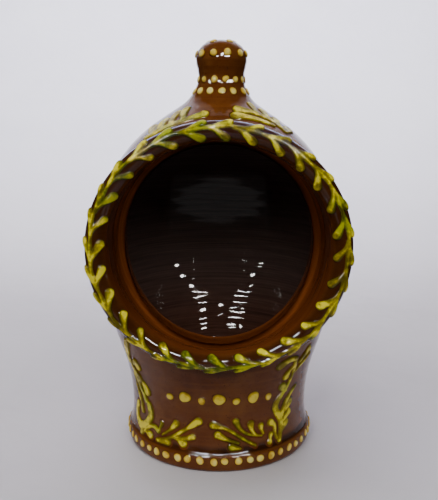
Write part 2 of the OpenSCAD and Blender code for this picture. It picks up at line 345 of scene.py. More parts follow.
def build_body():
    line = curve2(OUTLINE, 0.46)
    line = line[((line[:, 1] > 6.5) & (line[:, 1] < 13.5)) | (np.arange(len(line)) % 3 == 0)]
    keep = line[:, 1] < NECK_Z - 0.3
    line = np.concatenate([line[keep], [[float(r_of(NECK_Z)), NECK_Z]]])
    ghost = np.concatenate([line, [[float(r_of(NECK_Z + 1.0)), NECK_Z + 1.0]]])

    def off(R, Z, T):
        return R + wobble(T, Z), Z

    P, N = revolve(ghost, COLS, off)
    P, N = P[:-1], N[:-1]
    rows = len(P)
    g = np.where(P[..., 1] < 0, np.hypot(P[..., 0], P[..., 2] - MOUTH_Z) - (HOLE_R + 0.4), 50.0)
    uvo, fo = march(g, wrap=True)

    def sample(G, uv):
        i = np.clip(np.floor(uv[:, 0]).astype(int), 0, G.shape[0] - 1)
        i1 = np.minimum(i + 1, G.shape[0] - 1)
        j = np.floor(uv[:, 1]).astype(int)
        a = (uv[:, 0] - i)[:, None]
        b = (uv[:, 1] - j)[:, None]
        j0, j1 = j % G.shape[1], (j + 1) % G.shape[1]
        return (
            G[i, j0] * (1 - a) * (1 - b) + G[i1, j0] * a * (1 - b)
            + G[i, j1] * (1 - a) * b + G[i1, j1] * a * b
        )

    Vo, No = sample(P, uvo), sample(N, uvo)

    # inside wall, floor and crown
    ins = curve2(INSIDE, 0.3)
    fine = (ins[:, 1] > 44) & (ins[:, 1] < 93) & (ins[:, 0] > 40)
    ins = ins[fine | (np.arange(len(ins)) % 3 == 0) | (np.arange(len(ins)) == len(ins) - 1)]
    def off_in(R, Z, T):
        d = smooth(9.0, 16.0, Z) * (1 - smooth(176, 190, Z)) * smooth(20, 40, R)
        fl = (1 - smooth(9.0, 12.5, Z)) * smooth(3, 9, R)
        spiral = 0.22 * np.sin(2 * np.pi * (R / 5.6 + T / (2 * np.pi))) * fl
        return R - rings(Z, T, d) * -1.0 - 0.0, Z + spiral

    Q, M = revolve(ins, COLS, off_in)
    Q[0, :, :] = Q[0].mean(0)
    Q[-1, :, :] = Q[-1].mean(0)
    M = -M
    M = M / np.linalg.norm(M, axis=-1, keepdims=True)
    az = np.arctan2(Q[..., 0], Q[..., 1])
    # the back of the chamber is drawn flatter above its middle
    zq, rq = Q[..., 2], np.hypot(Q[..., 0], Q[..., 1]) + 1e-9
    lean = np.arctan((in_r(zq + 0.5) - in_r(zq - 0.5)) / 1.0)
    plain = np.stack([-np.cos(lean) * Q[..., 0] / rq, -np.cos(lean) * Q[..., 1] / rq, np.sin(lean)], -1)
    w = ((1 - smooth(0.50, 0.66, np.abs(az))) * smooth(108, 113, zq) * (1 - smooth(150, 155, zq)))[..., None]
    M = M * (1 - w) + (half_way(Q, (0, -415, -12)) + 0.9 * (M - plain)) * w
    for a0, z0, hw, hh, rise_ in GLINTS:
        dx = (az - math.radians(a0)) * rq
        dist = np.hypot(dx / hw, (zq - z0 - 1.15 - rise_ * dx) / hh)
        w = ((1 - smooth(1.0, 1.0 + 0.34 / hh, dist)) * (Q[..., 1] > 20))[..., None]
        M = M * (1 - w) + half_way(Q, (20, -1169, 795)) * w
    # the glaze is dull outside a patch that the table shows in
    egg = np.hypot(az / 0.52, (zq - 133.2) / 15.5)
    egg = egg + 0.10 * np.sin(2 * np.pi * zq / 7.5 + 2.0 * az) + 0.05 * np.sin(2 * np.pi * zq / 3.1 - 3.0 * az)
    band = smooth(0.15, 0.95, np.sin(2 * np.pi * zq / 3.9 + 1.5 * az + 0.5 * np.sin(7 * az)))
    dull = smooth(94, 106, zq) * np.maximum(smooth(0.80, 1.05, egg), 0.42 * band)
    M[0] = (0, 0, 1)
    M[-1] = (0, 0, -1)
    g2 = np.where(Q[..., 1] < 0, np.hypot(Q[..., 0], Q[..., 2] - MOUTH_Z) - (HOLE_R + 0.4), 50.0)
    g2[:2] = 50.0
    g2[-2:] = 50.0
    uvi, fi = march(g2, wrap=True)
    Vi, Ni, Di = sample(Q, uvi), sample(M, uvi), sample(dull[..., None], uvi)[:, 0]

    base = len(Vo)
    verts = np.concatenate([Vo, Vi])
    norms = np.concatenate([No, Ni])
    faces = [f[::-1] for f in fo] + [[v + base for v in f] for f in fi]
    # boundary loops
    edges = boundary(faces)
    nxt = {a: b for a, b in edges}
    loops = []
    left = set(nxt)
    while left:
        s = min(left)
        loop = [s]
        left.discard(s)
        k = nxt[s]
        while k != s and k in left:
            loop.append(k)
            left.discard(k)
            k = nxt[k]
        loops.append(loop)
    out_hole = in_hole = top = bottom = None
    for lp in loops:
        c = verts[lp].mean(0)
        span = np.ptp(verts[lp][:, 2])
        if span > 50:
            if lp[0] < base:
                out_hole = lp
            else:
                in_hole = lp
        elif lp[0] < base and c[2] > 150:
            top = lp
        elif lp[0] < base and c[2] < 20:
            bottom = lp
    faces_extra = []
    # thickness of the wall round the hole

    def ang(v):
        return math.atan2(v[0], v[2] - MOUTH_Z)

    def order(lp):
        a = np.array([ang(verts[i]) for i in lp])
        k = int(np.argmin(a))
        lp = lp[k:] + lp[:k]
        a = np.array([ang(verts[i]) for i in lp])
        if a[1] > a[-1]:
            lp = [lp[0]] + lp[1:][::-1]
            a = np.array([ang(verts[i]) for i in lp])
        return lp, a

    A, aa = order(out_hole)
    B, ab = order(in_hole)
    i = j = 0
    na, nb = len(A), len(B)
    aa = np.append(aa, aa[0] + 2 * math.pi)
    ab = np.append(ab, ab[0] + 2 * math.pi)
    while i < na or j < nb:
        if j >= nb or (i < na and aa[i + 1] <= ab[j + 1]):
            faces_extra.append([A[i], A[(i + 1) % na], B[j % nb]])
            i += 1
        else:
            faces_extra.append([A[i % na], B[(j + 1) % nb], B[j]])
            j += 1
    # caps: neck and base
    have = set(boundary(faces))
    # orient the band against the outer wall's edge
    e0 = (A[0], A[1])
    if e0 in have:
        faces_extra = [f[::-1] for f in faces_extra]

    def cap(lp, inset, zin):
        nonlocal verts, norms
        ring = verts[lp].copy()
        c = ring.mean(0)
        start = len(verts)
        steps = []
        prev = list(lp)
        for fr, dz in inset:
            p = c + (ring - c) * fr
            p[:, 2] = ring[:, 2] + dz
            ids_ = list(range(len(verts), len(verts) + len(lp)))
            verts = np.concatenate([verts, p])
            norms = np.concatenate([norms, np.tile([0, 0, zin], (len(lp), 1))])
            for q in range(len(lp)):
                q1 = (q + 1) % len(lp)
                faces_extra.append([prev[q1], prev[q], ids_[q], ids_[q1]])
            prev = ids_
        verts = np.concatenate([verts, [[c[0], c[1], verts[prev[0]][2]]]])
        norms = np.concatenate([norms, [[0, 0, zin]]])
        ctr = len(verts) - 1
        for q in range(len(lp)):
            faces_extra.append([prev[(q + 1) % len(lp)], prev[q], ctr])

    cap(top, [(0.97, 0.0), (0.5, 0.0)], 1.0)
    cap(bottom, [(0.93, 0.0), (0.86, 0.9), (0.5, 1.2)], -1.0)
    allf = faces + faces_extra
    # attributes: inside flag, and how dull the glaze is inside
    inner = np.zeros(len(verts))
    inner[base:base + len(Vi)] = 1.0
    matt = np.zeros(len(verts))
    matt[base:base + len(Vi)] = Di
    o = make("pot_body", verts, allf, norms, {"inner": inner, "dull": matt})
    return o


def build_knob():
    line = curve2(OUTLINE, 0.55)
    keep = line[:, 1] > NECK_Z + 0.15
    line = np.concatenate([[[float(r_of(NECK_Z)), NECK_Z]], line[keep]])
    line[-1] = (0.0, 230.0)
    ghost = np.concatenate([[[float(r_of(NECK_Z - 1.0)), NECK_Z - 1.0]], line])

    def off(R, Z, T):
        a = smooth(203, 210, Z)
        k = 1 + 0.004 * a * np.sin(2 * T + 0.5) + 0.003 * a * np.sin(3 * T)
        turn = 0.05 * np.sin(2 * np.pi * Z / 3.7 + T) * smooth(201, 205, Z) * (1 - smooth(222, 226, Z))
        return np.minimum(R * k + turn + wobble(T, Z), 40), Z

    P, N = revolve(ghost, COLS, off)
    P, N = P[1:], N[1:]
    P[-1] = (0, 0, 230.0)
    N[-1] = (0, 0, 1)
    rows = len(P)
    N = N / np.maximum(np.linalg.norm(N, axis=-1, keepdims=True), 1e-9)
    az = np.arctan2(P[..., 0], -P[..., 1])
    for a0, z0, hw, hh, rise_ in ((-26, 207.2, 1.7, 0.5, 0.0), (-11, 207.4, 1.7, 0.45, 0.15), (22, 207.5, 1.4, 0.6, 0.1), (34, 207.4, 1.5, 0.5, -0.1)):
        dx = (az - math.radians(a0)) * np.hypot(P[..., 0], P[..., 1])
        dist = np.hypot(dx / hw, (P[..., 2] - z0 - rise_ * dx - 0.25 * np.sin(3 * dx)) / hh)
        w = (1 - smooth(0.9, 1.7, dist))[..., None]
        N = N * (1 - w) + half_way(P, (20, -1169, 795)) * w
    verts = P[:-1].reshape(-1, 3)
    norms = N[:-1].reshape(-1, 3)
    verts = np.concatenate([verts, [[0, 0, 230.0]], [[0, 0, NECK_Z]]])
    norms = np.concatenate([norms, [[0, 0, 1.0]], [[0, 0, -1.0]]])
    faces = []
    n = COLS
    for i in range(rows - 2):
        for j in range(n):
            j1 = (j + 1) % n
            faces.append([i * n + j, i * n + j1, (i + 1) * n + j1, (i + 1) * n + j])
    top = (rows - 2) * n
    ctr = len(verts) - 2
    for j in range(n):
        faces.append([top + j, top + (j + 1) % n, ctr])
        faces.append([(j + 1) % n, j, len(verts) - 1])
    return make("pot_knob", verts, faces, norms, {"inner": np.zeros(len(verts))})


# ---------------------------------------------------------------- collar
def h_wall(r, t, inner=False):
    """Distance forward at which the wall's surface lies, r from the mouth's axis."""
    x = r * np.sin(t)
    z = MOUTH_Z + r * np.cos(t)
    R = (in_r(z) if inner else r_of(z))
    return np.sqrt(np.maximum(R**2 - x**2, 1.0))


def lip_line(s):
    """Section of the lip by arc length s from its crest, outward positive: (r, h)."""
    s = np.asarray(s, float)
    a = np.clip(s / ROLL, math.radians(-80), math.radians(125))
    r = ROLL_C + ROLL * np.sin(a)
    h = ROLL_Y + ROLL * np.cos(a)
    over = np.minimum(s - ROLL * math.radians(-80), 0)
    r = r + over * math.cos(math.radians(-80))
    h = h - over * math.sin(math.radians(-80))
    return r, h


def lip_off(t, s):
    """Small unevenness of the thrown lip, in mm."""
    return 0.10 * np.sin(3 * t + 0.7) + 0.08 * np.sin(5 * t + 2.1)


def lip_surf(t, s, lift=0.0):
    """Point on the lip. t is the angle clockwise from the top, seen from the front."""
    r, h = lip_line(s)
    e = 0.05
    r1, h1 = lip_line(s + e)
    r0, h0 = lip_line(s - e)
    dr, dh = r1 - r0, h1 - h0
    L = np.hypot(dr, dh)
    nr, nh = -dh / L, dr / L
    off = lip_off(t, s)
    r = r + nr * lift
    h = h + nh * lift + off * 0.6 - 0.05
    rr = r + off * 0.5 - 0.08
    return np.stack([LIP_X * rr * np.sin(t), -h, MOUTH_Z + LIP_Z * rr * np.cos(t)], -1)


def build_collar():
    cols = 320
    T = np.arange(cols) * 2 * np.pi / cols
    grid = []
    W = None
    tags = None
    for t in T:
        hi = float(h_wall(HOLE_R, t, True))
        h0 = float(h_wall(HOLE_R, t))
        hi2 = float(h_wall(50.9, t, True))
        hi1 = float(h_wall(49.5, t, True))
        pts, w, tg = [], [], []

        def add(p, wt, tag):
            pts.append(p)
            w.append(np.full(len(p), wt) if np.isscalar(wt) else np.asarray(wt))
            tg.append(np.full(len(p), tag) if np.isscalar(tag) else np.asarray(tag))

        # inner edge bead and throat lining
        add(bez((50.9, hi2 + 0.25), (50.1, hi1 - 0.45), (HOLE_R, hi - 0.6), (HOLE_R, hi + 1.5), 9), 0.0, 0.9)
        zl = h0 - 1.6
        add(bez((HOLE_R, hi + 1.5), (HOLE_R, hi + 0.6 * 1.5 + 0.4 * zl), (HOLE_R, 0.3 * hi + 0.7 * zl), (HOLE_R, zl), 5, False), 0.0, 1.0)
        # rounded arris and shallow ledge, then the steep side of the bowl
        lh = min(4.6, (77.0 - h0) * 0.36)
        led = (51.3, h0 + 0.88 * lh)
        add(bez((HOLE_R, zl), (HOLE_R, h0 + 0.2), (49.4, h0 + 0.3 * lh), led, 12, False), 0.0, np.linspace(1, 0.8, 12))
        r8, h8 = lip_line(ROLL * math.radians(-80) - 3.0)
        L = h8 - led[1]
        n = 12
        add(bez(led, (led[0] + 0.9, led[1] + 0.26 * L), (float(r8) - 0.17 * 0.33 * L, float(h8) - 0.33 * L), (float(r8), float(h8)), n, False),
            smooth(0, 1, np.linspace(1 / n, 1, n)), 0.8 - 0.55 * np.linspace(1 / n, 1, n))
        s = np.linspace(ROLL * math.radians(-80) - 3.0, ROLL * math.radians(125), 44)[1:]
        r, h = lip_line(s)
        add(np.stack([r, h], 1), 1.0, np.clip(0.25 - (s + 8) * 0.05, 0, 0.25))
        q0 = pts[-1][-1]
        re = 58.4
        he = float(h_wall(re, t))
        sl = float(h_wall(re + 0.5, t) - h_wall(re - 0.5, t))
        tt = np.array([1.0, sl]) / math.hypot(1.0, sl)
        wst = np.array([54.7, he + 5.2])
        d = q0[1] - wst[1]
        n = 14
        add(bez(q0, q0 + np.array([-0.57, -0.82]) * 0.33 * d, wst + np.array([0, 0.33 * d]), wst, n, False),
            1 - smooth(0, 1, np.linspace(1 / n, 1, n)), 0.0)
        end = np.array([re, he - 0.22])
        add(bez(wst, wst + np.array([0, -2.9]), end - tt * 2.6, end, 9, False), 0.0, 0.0)
        # hidden root inside the wall
        add(np.array([[re - 0.6, he - 2.6], [53.5, 0.5 * (h_wall(53.5, t) + h_wall(53.5, t, True))],
                      [51.4, 0.5 * (h_wall(51.4, t) + h_wall(51.4, t, True)) - 0.6]], float), 0.0, 0.0)
        grid.append(np.concatenate(pts))
        W = np.concatenate(w)
        tags = np.concatenate(tg)
    G = np.asarray(grid)
    t = T[:, None]
    off = lip_off(t, 0) * W[None, :]
    # unevenness and slight oval of the lip, fading out away from it
    stp = np.arange(G.shape[1])[None, :]
    r = G[..., 0] + off * 0.5 - 0.08 * W[None, :]
    h = G[..., 1] + off * 0.6 - 0.05 * W[None, :]
    fx = 1 + (LIP_X - 1) * W[None, :]
    fz = 1 + (LIP_Z - 1) * W[None, :]
    P = np.stack([fx * r * np.sin(t), -h, MOUTH_Z + fz * r * np.cos(t)], -1)
    du = (np.roll(P, -1, 0) - np.roll(P, 1, 0)) / 2
    dv = (np.roll(P, -1, 1) - np.roll(P, 1, 1)) / 2
    N = np.cross(du, dv)
    n, m = P.shape[:2]
    faces = []
    for i in range(n):
        i1 = (i + 1) % n
        for j in range(m):
            j1 = (j + 1) % m
            faces.append([i * m + j, i1 * m + j, i1 * m + j1, i * m + j1])
    verts, norms = P.reshape(-1, 3), N.reshape(-1, 3)
    # face orientation check against the normals
    f0 = faces[(n // 4) * m + 30]
    a, b, c = verts[f0[0]], verts[f0[1]], verts[f0[2]]
    if np.dot(np.cross(b - a, c - a), norms[f0[0]]) < 0:
        faces = [f[::-1] for f in faces]
    # normals must point away from the solid: at the crest that is forward
    crest = int(np.argmin(P[0, :, 1]))
    if N[0, crest, 1] > 0:
        norms = -norms
        faces = [f[::-1] for f in faces]
    throat = np.tile(tags, n)
    sec = np.concatenate([np.zeros((n, 1)), np.cumsum(np.hypot(np.diff(G[..., 0], axis=1), np.diff(G[..., 1], axis=1)), 1)], 1)
    return make("pot_collar", verts, faces, norms, {"throat": throat, "lip": np.tile(W, n), "section": sec.reshape(-1)})


# ---------------------------------------------------------------- trailed slip
def seg_field(U, V, d, a, b, r0, r1):
    """Signed distance to a tapered stroke from a to b, kept where smaller (in place)."""
    pad = max(r0, r1) + 1.6
    lo_u, hi_u = min(a[0], b[0]) - pad, max(a[0], b[0]) + pad
    lo_v, hi_v = min(a[1], b[1]) - pad, max(a[1], b[1]) + pad
    iu = (U[:, 0] >= lo_u) & (U[:, 0] <= hi_u)
    iv = (V[0, :] >= lo_v) & (V[0, :] <= hi_v)
    if not iu.any() or not iv.any():
        return
    ix = np.ix_(iu, iv)
    u, v = U[ix], V[ix]
    e = np.array([b[0] - a[0], b[1] - a[1]], float)
    L2 = max(float(e @ e), 1e-9)
    t = np.clip(((u - a[0]) * e[0] + (v - a[1]) * e[1]) / L2, 0, 1)
    q = np.hypot(u - a[0] - t * e[0], v - a[1] - t * e[1]) - (r0 + (r1 - r0) * t)
    d[ix] = np.minimum(d[ix], q)


def smin(a, b, k):
    h = np.clip(0.5 + 0.5 * (b - a) / k, 0, 1)
    return b + (a - b) * h - k * h * (1 - h)


def stroke_pts(pts, radii, n=8):
    """Smooth line through the points with a radius along it."""
    p = np.asarray(pts, float)
    r = np.asarray(radii, float)
    if len(p) == 2:
        t = np.linspace(0, 1, 3)
        return p[0] + (p[1] - p[0]) * t[:, None], np.interp(t, [0, 1], r)
    d = np.concatenate([[0], np.cumsum(np.hypot(*np.diff(p, axis=0).T))])
    t = np.linspace(0, d[-1], n * (len(p) - 1) + 1)
    return np.stack([cubic(d, p[:, 0])(t), cubic(d, p[:, 1])(t)], 1), np.interp(t, d, r)


def field(U, V, strokes, k=0.5, grow=(1.0, 0.0)):
    """Signed distance (mm) to a set of strokes [(points, radii)], melted together."""
    strokes = [(pts, [r * grow[0] + grow[1] for r in radii]) for pts, radii in strokes]
    total = np.full(U.shape, 9.0)
    for pts, radii in strokes:
        d = np.full(U.shape, 9.0)
        p, r = stroke_pts(pts, radii)
        for i in range(len(p) - 1):
            seg_field(U, V, d, p[i], p[i + 1], r[i], r[i + 1])
        total = smin(total, d, k)
    return total


def rise(d, H, w=1.15, edge=0.62):
    """Height of melted slip at signed distance d from its edge: round shoulders, a softly sunk middle."""
    q = np.clip(-d / w, 0, 1)
    up = H * np.sqrt(np.clip(1 - (1 - q) ** 2, 0, 1))
    dip = 0.12 * H * smooth(w * 0.9, w * 1.9, -d)
    halo = 0.045 * (1 - smooth(0.0, edge, d)) - 0.03 * smooth(edge - 0.25, edge, d)
    return np.where(d < 0, up - dip + 0.045, halo)


def relief(name, surf, us, vs, d, H, wrap=False, edge=0.62, hide=None, w=1.15, embed=0.35):
    """Closed raised piece of slip on a surface. d is its field on the us x vs grid."""
    g = edge - d
    uv, faces = march(g, wrap)
    i = np.clip(np.floor(uv[:, 0]).astype(int), 0, len(us) - 1)
    i1 = np.minimum(i + 1, len(us) - 1)
    fu = uv[:, 0] - i
    j = np.floor(uv[:, 1]).astype(int)
    fv = uv[:, 1] - j
    m = len(vs)
    u = us[i] + (us[i1] - us[i]) * fu
    dv = vs[1] - vs[0]
    v = vs[0] + (j + fv) * dv

    def samp(F):
        j0, j1 = j % m, ((j + 1) % m if wrap else np.minimum(j + 1, m - 1))
        return (
            F[i, j0] * (1 - fu) * (1 - fv) + F[i1, j0] * fu * (1 - fv)
            + F[i, j1] * (1 - fu) * fv + F[i1, j1] * fu * fv
        )

    dd = samp(d)
    hh = rise(dd, H, w, edge)
    if hide is not None:
        hh = hh - samp(hide)
    top = surf(u, v, hh)
    bot = surf(u, v, np.full(len(u), -embed))
    n = len(top)
    up = faces
    # orientation
    f = faces[len(faces) // 2]
    nrm = np.cross(top[f[1]] - top[f[0]], top[f[2]] - top[f[0]])
    out = surf(u[f[:1]], v[f[:1]], np.array([1.0])) - surf(u[f[:1]], v[f[:1]], np.array([0.0]))
    if nrm @ out[0] < 0:
        up = [q[::-1] for q in faces]
    allf = [list(q) for q in up] + [[x + n for x in q[::-1]] for q in up]
    for a, b in boundary(up):
        allf.append([b, a, a + n, b + n])
    # normals of the top from the height field
    acc = np.zeros((n, 3))
    arr3 = np.array([[q[0], q[1], q[2]] for q in up] + [[q[0], q[2], q[3]] for q in up if len(q) == 4])
    fn = np.cross(top[arr3[:, 1]] - top[arr3[:, 0]], top[arr3[:, 2]] - top[arr3[:, 0]])
    for c in range(3):
        np.add.at(acc, arr3[:, c], fn)
    verts = np.concatenate([top, bot])
    norms = np.concatenate([acc, -acc])
    q = np.concatenate([-dd, np.full(n, -edge)])
    return make(name, verts, allf, norms, {"depth": q})


def grid(u0, u1, v0, v1, step):
    us = np.arange(u0, u1 + step, step)
    vs = np.arange(v0, v1 + step, step)
    U, V = np.meshgrid(us, vs, indexing="ij")
    return us, vs, U, V


REF = 52.0
REF_D = 30.0
REF_L = 60.0

_dn = (_o[:, 1] > 150) & (_o[:, 1] < 203)
_dp = _o[_dn]
_ds = np.concatenate([[0], np.cumsum(np.hypot(*np.diff(_dp, axis=0).T))])
_dz = _dp[:, 1]


def wall_surf(u, v, lift):
    """u is the distance round the wall from the front at radius REF, v the height."""
    return wall(u / REF, v, lift)


def dome_surf(u, v, lift):
    """u is the distance round the dome from the front at radius REF_D, v the distance up it."""
    return wall(u / REF_D, np.interp(v, _ds, _dz), lift)


def lip_grid_surf(u, v, lift):
    """u is the distance across the lip from its crest, v the distance along it, clockwise."""
    return lip_surf(v / REF_L, u, lift)


def on_dome(strokes):
    return [([(u, float(np.interp(z, _dz, _ds))) for u, z in pts], rad) for pts, rad in strokes]


# Branches low on the front and up the sides: points are (distance round, height), with the
# half width of the trail at each point. Every leaf is a drop drawn out from the stem.
FRONT_LEFT = [
    ([(-36, 12.2), (-30, 14.6), (-24.5, 18), (-17, 23.6), (-11, 28.3)], [0.9, 0.85, 1.0, 1.0, 2.1]),
    ([(-33.4, 16), (-28.5, 20), (-24, 25)], [0.5, 0.8, 1.85]),
    ([(-35.6, 18.8), (-34, 22.6)], [0.45, 1.25]),
    ([(-48.5, 13), (-45, 16.8), (-40.5, 18.8), (-36.6, 17.4)], [0.9, 1.1, 1.2, 1.55]),
    ([(-25, 17.2), (-20, 16.9), (-14.4, 18.8)], [0.8, 0.95, 1.65]),
    ([(-26.5, 16.6), (-23, 15.9), (-19.7, 14.2)], [0.7, 1.1, 2.1]),
    ([(-37, 12.4), (-33, 12.5), (-29.2, 13)], [0.7, 1.3, 1.8]),
    ([(-46.5, 13.6), (-42.4, 12.9)], [0.9, 1.9]),
]
FRONT_RIGHT = [
    ([(20, 13.2), (13.5, 17.6), (7.5, 22), (2, 25.2), (-3, 26.6)], [0.85, 0.8, 0.85, 1.1, 2.2]),
    ([(21, 18.6), (15.5, 20.4), (11.6, 23.6), (9, 28.6)], [0.5, 0.7, 0.9, 1.8]),
    ([(24, 18), (20, 19.6), (18.3, 22), (17.4, 26)], [0.5, 0.8, 1.0, 2.0]),
    ([(25, 19.2), (24.2, 21), (23.5, 24)], [0.7, 0.9, 1.8]),
    ([(34.2, 14.2), (32.8, 17.5), (32.6, 21.5), (29.6, 24.4)], [1.0, 1.1, 1.3, 2.1]),
    ([(10.5, 15.6), (4.5, 18), (-0.7, 20.8)], [0.55, 0.95, 2.1]),
    ([(11.4, 12.6), (6.8, 13.6)], [0.7, 1.85]),
    ([(30, 17.4), (29.4, 15), (29, 13.2)], [1.5, 0.9, 1.6]),
]
SIDE_LEFT = [
    ([(-56.4, 27.5), (-58.4, 22.5), (-57, 17.6), (-52, 14.6)], [0.9, 1.15, 1.2, 1.1]),
    ([(-43.6, 30.5), (-42.8, 26.6), (-44.6, 21), (-49.6, 16.2)], [1.2, 1.5, 1.35, 1.2]),
    ([(-51, 16.2), (-50.6, 12.2)], [1.1, 0.95]),
    ([(-53.8, 54), (-52.6, 46), (-49, 38), (-45.8, 32.4)], [0.6, 0.75, 0.75, 0.9]),
    ([(-54.4, 47), (-54, 38), (-51.8, 30), (-50.7, 24.5)], [0.55, 0.6, 0.7, 0.75]),
    ([(-50.8, 54), (-48.8, 56), (-47.2, 53.2)], [0.6, 0.9, 1.5]),
    ([(-51, 48.4), (-49.2, 45.4)], [0.6, 1.55]),
    ([(-46.2, 43), (-43.8, 38.6)], [0.9, 1.65]),
    ([(-56, 54), (-54.4, 60), (-51.5, 66.5)], [0.9, 1.4, 1.5]),
]
SIDE_RIGHT = [
    ([(35.6, 12.8), (37.2, 18), (37, 23.6), (34, 29), (32.6, 34.2), (35.6, 39), (40, 45.6), (41.6, 52), (41, 58.6)],
     [1.1, 1.2, 1.3, 1.45, 1.5, 1.0, 0.75, 0.75, 0.8]),
    ([(47.4, 41.5), (43.2, 38), (40, 33), (37.6, 27)], [0.6, 0.75, 1.1, 1.3]),
    ([(40.2, 29), (44, 33)], [0.9, 1.6]),
    ([(38.8, 23.4), (43.6, 27)], [1.0, 1.55]),
    ([(38.2, 18), (41.8, 21.2)], [1.0, 1.5]),
    ([(38.8, 41.4), (35.6, 44.4)], [0.6, 2.0]),
    ([(40.4, 56), (38, 53.6), (36.6, 50.6)], [0.6, 0.9, 1.7]),
    ([(41.4, 60.2), (36.5, 61), (30.6, 58.6)], [0.8, 1.2, 1.7]),
    ([(42.4, 51.4), (47.4, 55.8), (53, 59.6)], [0.5, 0.7, 0.85]),
    ([(44.2, 57.5), (50, 63.6)], [0.6, 1.6]),
]
DOME_LEFT = [
    ([(-30.5, 177.5), (-23, 183.6), (-15, 187.6), (-8.8, 189.7)], [0.6, 0.75, 0.9, 1.5]),
    ([(-17.6, 187), (-21, 189.4), (-23.6, 192.2)], [0.5, 0.85, 1.35]),
    ([(-22.4, 184.4), (-25.6, 187.4), (-27.6, 190.2)], [0.5, 0.85, 1.35]),
    ([(-26.6, 181.6), (-30.2, 186.2)], [0.6, 1.5]),
    ([(-28.6, 179.4), (-34, 182.6)], [0.6, 1.5]),
]
DOME_RIGHT = [
    ([(30.5, 180.6), (29, 185.6), (22, 190.2), (11.6, 192.3)], [0.6, 0.75, 0.95, 1.6]),
    ([(25.6, 184), (16.5, 187.8), (8.8, 189)], [0.45, 0.85, 1.55]),
    ([(24, 191.2), (25.2, 194.4)], [0.7, 1.35]),
    ([(28.6, 188.2), (31.4, 191.2)], [0.7, 1.45]),
    ([(30, 184.6), (34, 186.8)], [0.7, 1.4]),
    ([(30.4, 181), (35, 181.6)], [0.6, 1.5]),
]


def garland():
    """Stem, inner and outer leaves of the trail on the lip, as strokes along it."""
    rng = np.random.RandomState(11)
    pairs = 28
    pitch = 2 * math.pi * REF_L / pairs
    inner, outer, stem = [], [], []
    for i in range(pairs):
        v = (i + 0.30) * pitch + rng.uniform(-0.7, 0.7)
        s_in, s_out = rng.uniform(-0.35, 0.35), rng.uniform(-0.3, 0.3)
        k = rng.uniform(0.86, 1.12)
        inner.append((
            [(1.4, v - 9.6 * k), (0.9, v - 6.8 * k), (-1.2, v - 3.2 * k), (-3.5 + s_in, v)],
            [0.7, 1.0, 1.45 * k, 2.2 * k],
        ))
        w = v + 0.9 + rng.uniform(-0.9, 0.9)
        k = rng.uniform(0.92, 1.08)
        outer.append((
            [(1.9, w - 9.4 * k), (2.2, w - 6.6 * k), (3.4, w - 3.0 * k), (4.7 + s_out, w)],
            [0.65, 0.95, 1.4 * k, 2.1 * k],
        ))
    n = 168
    for j in range(n + 1):
        a = j / n * 2 * math.pi
        stem.append((1.75 + 0.30 * math.sin(14 * a + 0.5) + 0.18 * math.sin(5 * a + 1.0), j / n * 2 * math.pi * REF_L))
    width = [1.02 + 0.18 * math.sin(28 * (j / n) * 2 * math.pi + 1.2) for j in range(n + 1)]
    return stem, width, inner, outer


def ring_field(U, V, strokes, length, k=0.45):
    """field() on a grid whose V direction closes on itself after length."""
    out = []
    for pts, rad in strokes:
        lo, hi = min(p[1] for p in pts), max(p[1] for p in pts)
        for m in (-1, 0, 1):
            if lo + m * length < length + 4 and hi + m * length > -4:
                out.append(([(p[0], p[1] + m * length) for p in pts], rad))
    return field(U, V, out, k)


def dot_caps(name, places, bump_h=0.36):
    """Separate drops of slip. places: (surface(x, y, lift) in the drop's own plane, radius)."""
    rng = np.random.RandomState(len(places) * 7 + 3)
    verts, faces, depth, norms = [], [], [], []
    n = 26
    ph = np.arange(n) * 2 * math.pi / n
    rho = np.array([0.22, 0.44, 0.62, 0.77, 0.88, 0.95, 0.985, 1.0, 1.06, 1.16, 1.30])
    for surf, r0 in places:
        a2, p2 = rng.uniform(0.02, 0.10), rng.uniform(0, 6.28)
        a3, p3 = rng.uniform(0.0, 0.05), rng.uniform(0, 6.28)
        rr = r0 * (1 + a2 * np.cos(2 * (ph - p2)) + a3 * np.cos(3 * (ph - p3)))
        H = r0 * bump_h * rng.uniform(0.9, 1.1)
        base = sum(len(v) for v in verts)
        hgt = np.where(rho < 1.0, H * np.sqrt(np.clip(1 - rho**2.3, 0, 1)) + 0.045, 0.045 - 0.075 * smooth(1.0, 1.30, rho))
        hgt[rho == 1.0] = 0.045
        p = [surf(np.zeros(1), np.zeros(1), np.array([H + 0.045]))]
        for q, h in zip(rho, hgt):
            p.append(surf(rr * q * np.cos(ph), rr * q * np.sin(ph), np.full(n, h)))
        low = surf(rr * 1.30 * np.cos(ph), rr * 1.30 * np.sin(ph), np.full(n, -0.45))
        p.append(low)
        p.append(surf(np.zeros(1), np.zeros(1), np.array([-0.45])))
        P = np.concatenate(p)
        f = []
        for j in range(n):
            f.append([0, 1 + j, 1 + (j + 1) % n])
        rows = len(rho) + 1
        for i in range(rows - 1):
            for j in range(n):
                j1 = (j + 1) % n
                f.append([1 + i * n + j, 1 + (i + 1) * n + j, 1 + (i + 1) * n + j1, 1 + i * n + j1])
        last = 1 + (rows - 1) * n
        for j in range(n):
            f.append([last + j, len(P) - 1, last + (j + 1) % n])
        c = P[f[0]]
        nrm = np.cross(c[1] - c[0], c[2] - c[0])
        out = surf(np.zeros(1), np.zeros(1), np.array([1.0]))[0] - surf(np.zeros(1), np.zeros(1), np.array([0.0]))[0]
        if nrm @ out < 0:
            f = [x[::-1] for x in f]
        verts.append(P)
        faces += [[x + base for x in y] for y in f]
        dq = np.concatenate([[r0], np.repeat((1 - rho) * r0, n), np.full(n, -0.6), [-0.6]])
        depth.append(dq)
    return make(name, np.concatenate(verts), faces, None, {"depth": np.concatenate(depth)})


def wall_dot(th, z):
    r = float(r_of(z))

    def f(x, y, lift):
        return wall(th + x / r, z + y, lift)

    return f


